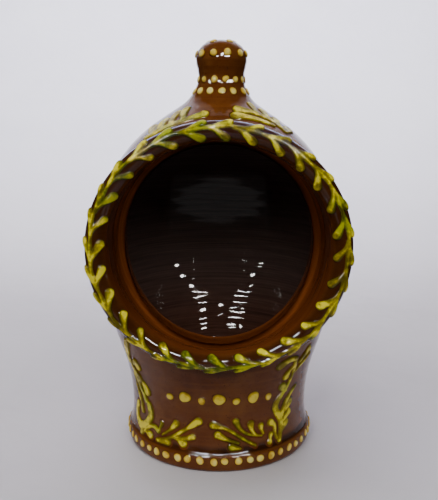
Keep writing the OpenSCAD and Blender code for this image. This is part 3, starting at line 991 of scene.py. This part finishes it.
_kn = (_o[:, 1] > 190)
_kp = _o[_kn]
_ks = np.concatenate([[0], np.cumsum(np.hypot(*np.diff(_kp, axis=0).T))])


def knob_dot(th, z):
    """Drop on the knob, at angle th and height z, laid along its profile."""
    s0 = float(np.interp(z, _kp[:, 1], _ks))
    r = float(r_of(z))

    def f(x, y, lift):
        s = s0 + y
        rr, zz = np.interp(s, _ks, _kp[:, 0]), np.interp(s, _ks, _kp[:, 1])
        e = 0.3
        dr = np.interp(s + e, _ks, _kp[:, 0]) - np.interp(s - e, _ks, _kp[:, 0])
        dz = np.interp(s + e, _ks, _kp[:, 1]) - np.interp(s - e, _ks, _kp[:, 1])
        L = np.hypot(dr, dz) + 1e-9
        t = th + x / r
        rr = rr + wobble(t, zz)
        q = rr + lift * dz / L
        return np.stack([q * np.sin(t), -q * np.cos(t), zz - lift * dr / L], -1)

    return f


_tr, _tz = _kp[::-1, 0], _kp[::-1, 1]
_tk = _tz > 219.5


def top_dot(th, rad):
    """Drop near the middle of the crown, laid on it from above."""
    cx, cy = rad * math.sin(th), -rad * math.cos(th)

    def zt(q):
        return np.interp(q, _tr[_tk], _tz[_tk])

    def f(x, y, lift):
        X, Y = cx + x, cy + y
        q = np.hypot(X, Y)
        e = 0.2
        sl = (zt(q + e) - zt(np.maximum(q - e, 0))) / (e + np.minimum(q, e))
        L = np.sqrt(1 + sl**2)
        ux, uy = X / np.maximum(q, 1e-6), Y / np.maximum(q, 1e-6)
        nx, ny, nz = -sl / L * ux, -sl / L * uy, 1 / L
        return np.stack([X + nx * lift, Y + ny * lift, zt(q) + nz * lift], -1)

    return f


# ---------------------------------------------------------------- materials
def new_mat(name):
    m = bpy.data.materials.new(name)
    m.use_nodes = True
    nt = m.node_tree
    nt.nodes.clear()
    out = nt.nodes.new("ShaderNodeOutputMaterial")
    b = nt.nodes.new("ShaderNodeBsdfPrincipled")
    nt.links.new(b.outputs[0], out.inputs[0])
    return m, nt, b


class Nodes:
    def __init__(self, nt):
        self.nt = nt
        self.co = nt.nodes.new("ShaderNodeTexCoord").outputs["Object"]

    def n(self, kind, **props):
        k = self.nt.nodes.new(kind)
        for a, v in props.items():
            setattr(k, a, v)
        return k

    def put(self, sock, v):
        if isinstance(v, bpy.types.NodeSocket):
            self.nt.links.new(v, sock)
        else:
            sock.default_value = v

    def noise(self, scale, detail=3.0, rough=0.5, dist=0.0, vec=None, out="Fac"):
        k = self.n("ShaderNodeTexNoise")
        self.put(k.inputs["Vector"], vec if vec is not None else self.co)
        k.inputs["Scale"].default_value = scale
        k.inputs["Detail"].default_value = detail
        k.inputs["Roughness"].default_value = rough
        k.inputs["Distortion"].default_value = dist
        return k.outputs[out]

    def voronoi(self, scale, feature="F1", rand=1.0, out="Distance"):
        k = self.n("ShaderNodeTexVoronoi", feature=feature)
        self.put(k.inputs["Vector"], self.co)
        k.inputs["Scale"].default_value = scale
        k.inputs["Randomness"].default_value = rand
        return k.outputs[out]

    def stretch(self, s):
        k = self.n("ShaderNodeMapping")
        self.put(k.inputs["Vector"], self.co)
        k.inputs["Scale"].default_value = s
        return k.outputs[0]

    def ramp(self, fac, stops, mode="LINEAR"):
        k = self.n("ShaderNodeValToRGB")
        k.color_ramp.interpolation = mode
        el = k.color_ramp.elements
        while len(el) < len(stops):
            el.new(0.5)
        for e, (p, c) in zip(el, stops):
            e.position = p
            e.color = c if len(c) == 4 else (*c, 1.0)
        self.put(k.inputs[0], fac)
        return k.outputs[0]

    def math(self, op, a, b=None, clamp=False):
        k = self.n("ShaderNodeMath", operation=op, use_clamp=clamp)
        self.put(k.inputs[0], a)
        if b is not None:
            self.put(k.inputs[1], b)
        return k.outputs[0]

    def span(self, v, a, b, c=0.0, d=1.0):
        k = self.n("ShaderNodeMapRange", interpolation_type="SMOOTHSTEP")
        self.put(k.inputs["Value"], v)
        k.inputs["From Min"].default_value = a
        k.inputs["From Max"].default_value = b
        k.inputs["To Min"].default_value = c
        k.inputs["To Max"].default_value = d
        return k.outputs[0]

    def mix(self, fac, a, b, mode="MIX"):
        k = self.n("ShaderNodeMix", data_type="RGBA", blend_type=mode)
        self.put(k.inputs[0], fac)
        self.put(k.inputs[6], a if isinstance(a, bpy.types.NodeSocket) else (*a, 1.0))
        self.put(k.inputs[7], b if isinstance(b, bpy.types.NodeSocket) else (*b, 1.0))
        return k.outputs[2]

    def attr(self, name):
        k = self.n("ShaderNodeAttribute", attribute_name=name)
        return k.outputs["Fac"]

    def bump(self, height, strength, dist, normal=None):
        k = self.n("ShaderNodeBump")
        self.put(k.inputs["Height"], height)
        k.inputs["Strength"].default_value = strength
        k.inputs["Distance"].default_value = dist
        if normal is not None:
            self.put(k.inputs["Normal"], normal)
        return k.outputs[0]

    def xyz(self):
        k = self.n("ShaderNodeSeparateXYZ")
        self.put(k.inputs[0], self.co)
        return k.outputs


def glaze_common(nt, b, N, rough=0.30):
    b.inputs["Coat Weight"].default_value = 1.0
    b.inputs["Coat Roughness"].default_value = 0.025
    b.inputs["Coat IOR"].default_value = 1.27
    b.inputs["IOR"].default_value = 1.45
    b.inputs["Specular IOR Level"].default_value = 0.0


def iron_glaze(name, throat=False, inner=False):
    m, nt, b = new_mat(name)
    N = Nodes(nt)
    big = N.noise(38.0, 3, 0.55, 0.4)
    mid = N.noise(150.0, 4, 0.6)
    col = N.ramp(big, [(0.30, (0.114, 0.031, 0.0066)), (0.52, (0.148, 0.047, 0.0098)), (0.74, (0.188, 0.066, 0.0150))])
    col = N.mix(N.span(mid, 0.35, 0.75, 0.0, 0.55), col, (0.084, 0.023, 0.0054))
    # streaks left by the wheel
    st = N.noise(1.0, 3, 0.55, 0.0, N.stretch((14.0, 14.0, 620.0)))
    col = N.mix(N.span(st, 0.45, 0.8, 0.0, 0.35), col, (0.230, 0.072, 0.012))
    # iron specks under the glaze
    sp = N.voronoi(720.0)
    gate = N.span(N.noise(260.0, 1, 0.5), 0.50, 0.62)
    dots = N.math("MULTIPLY", N.span(sp, 0.24, 0.12), gate)
    col = N.mix(N.math("MULTIPLY", dots, 0.75), col, (0.014, 0.006, 0.004))
    lt = N.voronoi(980.0, rand=0.9)
    gate2 = N.span(N.noise(310.0, 1, 0.5, 0.0), 0.55, 0.66)
    col = N.mix(N.math("MULTIPLY", N.math("MULTIPLY", N.span(lt, 0.20, 0.08), gate2), 0.45), col, (0.26, 0.10, 0.035))
    if inner:
        # glaze pooled dark above the foot band
        z = N.xyz()[2]
        band = N.math("MULTIPLY", N.span(z, 0.0094, 0.0106), N.span(z, 0.0152, 0.0122))
        band = N.math("MULTIPLY", band, N.span(N.noise(26.0, 2, 0.5), 0.34, 0.54, 0.35, 0.92))
        col = N.mix(band, col, (0.022, 0.0065, 0.0020))
        # and darker just below the collar, on the front: partly glaze pooled at the collar's root, partly painted shade
        # under the lip
        x2 = N.math("MULTIPLY", N.xyz()[0], N.xyz()[0])
        dz = N.math("SUBTRACT", z, 0.127)
        away = N.math("ADD", x2, N.math("MULTIPLY", dz, dz))
        run = N.math("MULTIPLY", N.span(away, 0.00530, 0.00440), N.span(z, 0.092, 0.072))
        run = N.math("MULTIPLY", run, N.span(N.noise(34.0, 3, 0.55), 0.34, 0.62, 0.30, 0.85))
        run = N.math("MULTIPLY", run, N.span(N.xyz()[1], -0.012, -0.034))
        col = N.mix(run, col, (0.020, 0.0100, 0.0030))
        # deep inside, more iron and no wiping: nearly black brown low down; higher up a lighter, greyer brown that is a
        # painted reflection veil
        line = N.noise(1.0, 3, 0.6, 0.0, N.stretch((20.0, 20.0, 900.0)))
        low = N.span(N.xyz()[2], 0.105, 0.050)
        deep = N.mix(low, N.ramp(line, [(0.3, (0.130, 0.086, 0.074)), (0.7, (0.210, 0.135, 0.115))]), N.ramp(line, [(0.3, (0.066, 0.030, 0.020)), (0.7, (0.140, 0.062, 0.042))]))
        col = N.mix(N.attr("inner"), col, deep)
    if throat:
        th = N.attr("throat")
        k = N.n("ShaderNodeCombineXYZ")
        N.put(k.inputs[0], N.math("MULTIPLY", N.attr("section"), 1.35))
        N.put(k.inputs[1], N.math("MULTIPLY", N.xyz()[0], 9.0))
        N.put(k.inputs[2], N.math("MULTIPLY", N.xyz()[2], 9.0))
        streak = N.noise(1.0, 3, 0.6, 0.0, k.outputs[0])
        orange = N.ramp(streak, [(0.28, (0.145, 0.035, 0.0070)), (0.5, (0.190, 0.049, 0.0095)), (0.75, (0.250, 0.072, 0.0145))])
        deep = N.ramp(streak, [(0.3, (0.095, 0.0225, 0.0050)), (0.7, (0.160, 0.042, 0.0085))])
        col = N.mix(N.span(th, 0.0, 0.30, 0.0, 0.85), col, deep)
        col = N.mix(N.span(th, 0.30, 0.98, 0.0, 0.95), col, orange)
        # iron is thickest on the lip itself
        col = N.mix(N.math("MULTIPLY", N.span(N.attr("lip"), 0.5, 1.0), N.span(th, 0.22, 0.0, 0.0, 0.78)), col, (0.030, 0.0085, 0.0022))
    nt.links.new(col, b.inputs["Base Color"])
    # base roughness under the coat follows the streaks
    nt.links.new(N.span(st, 0.2, 0.8, 0.28, 0.42), b.inputs["Roughness"])
    glaze_common(nt, b, N)
    if inner:
        coat = N.span(N.attr("inner"), 0.0, 1.0, 1.0, 0.50)
        nt.links.new(N.math("MULTIPLY", coat, N.span(N.attr("dull"), 0.0, 1.0, 1.0, 0.20)), b.inputs["Coat Weight"])
    wave = N.noise(210.0, 2, 0.45)
    pin = N.span(N.voronoi(520.0), 0.10, 0.02)
    pin = N.math("MULTIPLY", pin, N.span(N.noise(120.0, 1), 0.60, 0.68))
    bm = N.bump(wave, 0.16, 0.0006)
    bm = N.bump(st, 0.10, 0.0004, bm)
    bm = N.bump(pin, -0.5, 0.0003, bm)
    nt.links.new(bm, b.inputs["Normal"])
    nt.links.new(N.bump(wave, 0.10, 0.0006), b.inputs["Coat Normal"])
    return m


def slip_glaze(name, green, kind):
    """Trailed slip under honey glaze. green is how much copper green runs in it."""
    m, nt, b = new_mat(name)
    N = Nodes(nt)
    q = N.math("MULTIPLY", N.attr("depth"), 1.0)
    big = N.noise(48.0, 2, 0.5, 0.3)
    mid = N.math("ADD", N.math("MULTIPLY", N.noise(240.0, 3, 0.55), 0.5), N.math("MULTIPLY", N.noise(95.0, 2, 0.5), 0.5))
    body = N.math("ADD", mid, N.span(q, 0.12, 1.25, -0.065, 0.055))
    if kind == "cream":
        core = N.ramp(body, [(0.38, (0.66, 0.40, 0.032)), (0.5, (0.90, 0.66, 0.090)), (0.62, (0.96, 0.84, 0.235))])
        rim = (0.33, 0.155, 0.010)
    elif kind == "gold":
        core = N.ramp(body, [(0.38, (0.42, 0.24, 0.008)), (0.5, (0.72, 0.50, 0.026)), (0.60, (0.92, 0.74, 0.080))])
        rim = (0.24, 0.110, 0.004)
    elif kind == "pale":
        core = N.ramp(body, [(0.38, (0.155, 0.108, 0.0020)), (0.5, (0.330, 0.258, 0.0046)), (0.60, (0.88, 0.74, 0.040))])
        rim = (0.150, 0.095, 0.0030)
    else:
        core = N.ramp(body, [(0.39, (0.110, 0.083, 0.0012)), (0.5, (0.310, 0.245, 0.0032)), (0.59, (0.96, 0.82, 0.020))])
        rim = (0.120, 0.082, 0.0020)
    grn = N.ramp(body, [(0.38, (0.016, 0.031, 0.0010)), (0.5, (0.080, 0.118, 0.0020)), (0.61, (0.34, 0.38, 0.0060))])
    if green > 0:
        col = N.mix(N.span(big, 0.62 - 0.16 * green, 0.70 - 0.12 * green, 0.0, min(0.95, 0.25 + green)), core, grn)
    else:
        col = core
    # thin shoulders where the clay shows through
    col = N.mix(N.span(q, 0.36, 0.0, 0.0, 0.80), col, rim)
    # copper pooled in the glaze here and there beside the stroke
    reach = 0.58 if kind == "green" else 1.15
    clay = N.mix(N.span(N.noise(150.0, 3, 0.6), 0.35, 0.7), (0.105, 0.027, 0.0044), (0.165, 0.047, 0.0075))
    if kind == "green":
        clay = N.mix(0.6, clay, (0.030, 0.0085, 0.0022))
    lo, hi, top = {"green": (0.40, 0.60, 0.95), "pale": (0.50, 0.64, 0.75)}.get(kind, (0.45, 0.62, 0.4))
    pool = N.span(N.noise(70.0, 2, 0.5), lo, hi, 0.06, top)
    near = N.math("MULTIPLY", pool, N.span(q, -reach, -0.15 * reach, 0.0, 1.0))
    dark = N.mix(near, clay, N.mix(N.span(mid, 0.4, 0.6), (0.0070, 0.0090, 0.0016), (0.030, 0.034, 0.0028)))
    col = N.mix(N.span(q, 0.10, -0.14, 0.0, 1.0), col, dark)
    nt.links.new(col, b.inputs["Base Color"])
    nt.links.new(N.span(mid, 0.2, 0.8, 0.30, 0.45), b.inputs["Roughness"])
    glaze_common(nt, b, N)
    b.inputs["Coat Weight"].default_value = 0.75
    wave = N.noise(420.0, 2, 0.5)
    nt.links.new(N.bump(wave, 0.14, 0.0004), b.inputs["Normal"])
    nt.links.new(N.bump(wave, 0.10, 0.0004), b.inputs["Coat Normal"])
    return m


M_BODY = iron_glaze("brown_glaze", inner=True)
M_COLLAR = iron_glaze("red_brown_glaze", throat=True)
M_CREAM = slip_glaze("cream_slip", 0.0, "cream")
M_GOLD = slip_glaze("gold_slip", 0.0, "gold")
M_GREEN = slip_glaze("green_slip", 0.60, "green")
M_PALE = slip_glaze("pale_green_slip", 0.35, "pale")


def done(o, mat, slot_name, *nodes):
    o.data.materials.append(mat)
    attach(o, "root")
    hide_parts(*nodes)
    return o


done(build_body(), M_BODY, "brown_glaze", "body")
done(build_knob(), M_BODY, "brown_glaze", "knob")
done(build_collar(), M_COLLAR, "red_brown_glaze", "mouth_collar")

# trailed branches on the wall
for piece, strokes, box, grow in (
    ("slip_front_spray_left", FRONT_LEFT, (-52, -6, 10.4, 33), (1.06, 0.12)),
    ("slip_front_spray_right", FRONT_RIGHT, (-8, 39, 10.4, 33), (1.02, 0.06)),
    ("slip_side_branch_left", SIDE_LEFT, (-64, -38, 10.4, 72), (1.36, 0.68)),
    ("slip_side_branch_right", SIDE_RIGHT, (26, 58, 10.4, 70), (1.18, 0.40)),
):
    us, vs, U, V = grid(*box, 0.30)
    d = field(U, V, strokes, 0.6, grow)
    o = relief(piece, wall_surf, us, vs, d, 0.85, edge=1.3)
    done(o, M_PALE, "green_slip", piece[5:])
for piece, strokes, u0, u1 in (
    ("slip_dome_spray_left", DOME_LEFT, -38.0, -5.0),
    ("slip_dome_spray_right", DOME_RIGHT, 5.0, 39.0),
):
    st = on_dome(strokes)
    v0 = min(q[1] for pts, _ in st for q in pts) - 4
    v1 = max(q[1] for pts, _ in st for q in pts) + 4
    us, vs, U, V = grid(u0, u1, v0, v1, 0.28)
    d = field(U, V, st, 0.5, (1.50, 1.05))
    o = relief(piece, dome_surf, us, vs, d, 0.7, edge=1.1)
    done(o, M_PALE, "green_slip", piece[5:])

# the garland on the lip
stem, width, leaves_in, leaves_out = garland()
LEN = 2 * math.pi * REF_L
cols = 1216
vs = np.arange(cols) * LEN / cols
us = np.arange(-7.2, 8.2, 0.30)
U, V = np.meshgrid(us, vs, indexing="ij")


def stem_field(U, V):
    a = V / REF_L
    c = 1.75 + 0.30 * np.sin(14 * a + 0.5) + 0.18 * np.sin(5 * a + 1.0)
    w = 1.02 + 0.18 * np.sin(28 * a + 1.2)
    return np.abs(U - c) - w


d_stem = stem_field(U, V)
d_in = ring_field(U, V, leaves_in, LEN)
d_out = ring_field(U, V, leaves_out, LEN)
done(relief("slip_rim_vine_stem", lip_grid_surf, us, vs, smin(smin(d_stem, d_in, 0.9), d_out, 0.9) + 0.9 * smooth(0.0, 1.6, d_stem), 0.78, True), M_GREEN, "green_slip", "rim_vine_stem")
done(relief("slip_rim_leaves_inner", lip_grid_surf, us, vs, d_in, 0.95, True, hide=0.30 * (1 - smooth(-1.1, 0.6, d_stem))), M_GREEN, "green_slip", "rim_leaves_inner")
done(relief("slip_rim_leaves_outer", lip_grid_surf, us, vs, d_out, 0.90, True, hide=0.30 * (1 - smooth(-1.1, 0.6, d_stem))), M_GREEN, "green_slip", "rim_leaves_outer")

# dots
rng = np.random.RandomState(5)
spots = []
for i in range(51):
    th = (i + 0.5) * 2 * math.pi / 51 + rng.uniform(-0.012, 0.012)
    spots.append((wall_dot(th, 6.5 + rng.uniform(-0.35, 0.35)), 2.10 * rng.uniform(0.9, 1.08)))
done(dot_caps("slip_foot_dots", spots), M_CREAM, "cream_slip", "foot_dots")
spots = []
for i in range(-3, 4):
    big = i % 2 == 0
    spots.append((wall_dot(i * 9.0 / REF, 42.0 if big else 40.6), 3.3 if big else 2.1))
done(dot_caps("slip_panel_dots", spots), M_GOLD, "cream_slip", "panel_dots")
spots = []
for i in range(14):
    th = (i + 0.1) * 2 * math.pi / 14 + rng.uniform(-0.03, 0.03)
    spots.append((knob_dot(th, 202.2 + rng.uniform(-0.25, 0.25)), 2.15 * rng.uniform(0.9, 1.08)))
done(dot_caps("slip_knob_neck_dots", spots), M_CREAM, "cream_slip", "knob_neck_dots")
spots = []
for i in range(13):
    th = (i + 0.35) * 2 * math.pi / 13 + rng.uniform(-0.03, 0.03)
    spots.append((knob_dot(th, 208.6 + rng.uniform(-0.25, 0.25)), 1.95 * rng.uniform(0.88, 1.08)))
done(dot_caps("slip_knob_waist_dots", spots), M_CREAM, "cream_slip", "knob_waist_dots")
spots = []
for i in range(11):
    th = (i + 0.4) * 2 * math.pi / 11 + rng.uniform(-0.03, 0.03)
    spots.append((knob_dot(th, 222.4 + rng.uniform(-0.25, 0.25)), 2.15 * rng.uniform(0.9, 1.08)))
for i in range(5):
    th = (i + 0.5) * 2 * math.pi / 5 + rng.uniform(-0.05, 0.05)
    spots.append((top_dot(th, 7.4), 1.90 * rng.uniform(0.92, 1.05)))
done(dot_caps("slip_knob_crown_dots", spots), M_CREAM, "cream_slip", "knob_crown_dots")

# ---------------------------------------------------------------- stage
def sweep_floor():
    bm = bmesh.new()
    prof = [(-0.26, 0.0), (-0.10, 0.0), (0.10, 0.0), (0.30, 0.0)]
    for k in range(1, 25):
        a = k / 24 * math.pi / 2
        prof.append((0.30 + 0.55 * math.sin(a), 0.55 - 0.55 * math.cos(a)))
    prof.append((0.85, 2.2))
    rows = []
    run = 0.0
    last = prof[0]
    for y, z in prof:
        run += math.hypot(y - last[0], z - last[1])
        last = (y, z)
        half = 0.14 + 0.36 * run
        rows.append([bm.verts.new((half * (-1 + j / 6), y, z)) for j in range(13)])
    xs = rows[0]
    for i in range(len(rows) - 1):
        for j in range(len(xs) - 1):
            bm.faces.new((rows[i][j], rows[i][j + 1], rows[i + 1][j + 1], rows[i + 1][j]))
    me = bpy.data.meshes.new("backdrop")
    bm.to_mesh(me)
    bm.free()
    me.shade_smooth()
    o = bpy.data.objects.new("backdrop", me)
    bpy.context.scene.collection.objects.link(o)
    m, nt, b = new_mat("backdrop_cloth")
    N = Nodes(nt)
    cloth = N.span(N.noise(5.0, 4, 0.55), 0.3, 0.7)
    # painted light: the cloth is coloured lighter and bluer towards the back than near the pot, standing in for the
    # back being lit more brightly
    near = N.mix(cloth, (0.665, 0.635, 0.668), (0.715, 0.684, 0.718))
    far = N.mix(cloth, (0.812, 0.802, 0.920), (0.866, 0.856, 0.960))
    c = N.mix(N.span(N.xyz()[1], 0.20, 0.95), near, far)
    nt.links.new(c, b.inputs["Base Color"])
    b.inputs["Roughness"].default_value = 0.9
    b.inputs["Specular IOR Level"].default_value = 0.1
    nt.links.new(N.bump(N.noise(16.0, 3, 0.5), 0.22, 0.01), b.inputs["Normal"])
    me.materials.append(m)


sweep_floor()


def area(name, loc, target, size, power, color=(1, 1, 1), size_y=None):
    d = bpy.data.lights.new(name, "AREA")
    d.energy = power
    d.color = color
    d.shape = "RECTANGLE"
    d.size = size
    d.size_y = size_y or size
    o = bpy.data.objects.new(name, d)
    bpy.context.scene.collection.objects.link(o)
    o.location = loc
    v = Vector(target) - Vector(loc)
    o.rotation_euler = v.to_track_quat("-Z", "Y").to_euler()
    return o


def panel(name, az, elev, dist, w, h, radiance, aim=(0, 0, 0.12)):
    """A small lamp seen only as a highlight in the glaze."""
    a, e = math.radians(az), math.radians(elev)
    loc = (dist * math.cos(e) * math.sin(a), -dist * math.cos(e) * math.cos(a), aim[2] + dist * math.sin(e))
    o = area(name, loc, aim, w, radiance * math.pi * w * h, (1.0, 0.99, 0.97), h)
    o.visible_diffuse = False
    return o


panel("lamp_left", -25, 26, 1.35, 0.46, 0.042, 470.0)
panel("lamp_middle", 1, 30, 1.35, 0.16, 0.07, 300.0)
panel("lamp_right", 24, 26, 1.35, 0.52, 0.042, 470.0)
low = area("table_ahead", (0.0, -0.415, -0.012), (0, -0.36, 1.0), 0.34, 1.25 * math.pi * 0.34 * 0.17, (1.0, 0.99, 0.98), 0.17)
low.visible_diffuse = False

top = area("tent_roof", (0.0, 1.0, 1.25), (0, 0.35, 0.1), 2.2, 0.64 * math.pi * 2.2 * 1.1, (1.0, 0.99, 0.97), 1.1)
fill = area("soft_fill", (-0.35, -0.45, 1.6), (0, 0, 0.05), 1.4, 13.8, (1.0, 0.99, 0.98), 1.2)
fill.visible_glossy = False
back = area("soft_back", (0.0, 0.05, 1.5), (0, 0.85, 0.75), 1.3, 18.2, (0.955, 0.955, 1.0), 0.5)
back.data.spread = math.radians(84.0)
back.visible_glossy = False
front = area("soft_front", (0.0, -1.1, 0.95), (0, 0, 0.1), 1.2, 10.2, (1.0, 0.99, 0.98), 0.8)
front.visible_glossy = False

world = bpy.data.worlds.new("world")
bpy.context.scene.world = world
world.use_nodes = True
bg = world.node_tree.nodes["Background"]
bg.inputs[0].default_value = (0.80, 0.81, 0.86, 1.0)
bg.inputs[1].default_value = 0.02
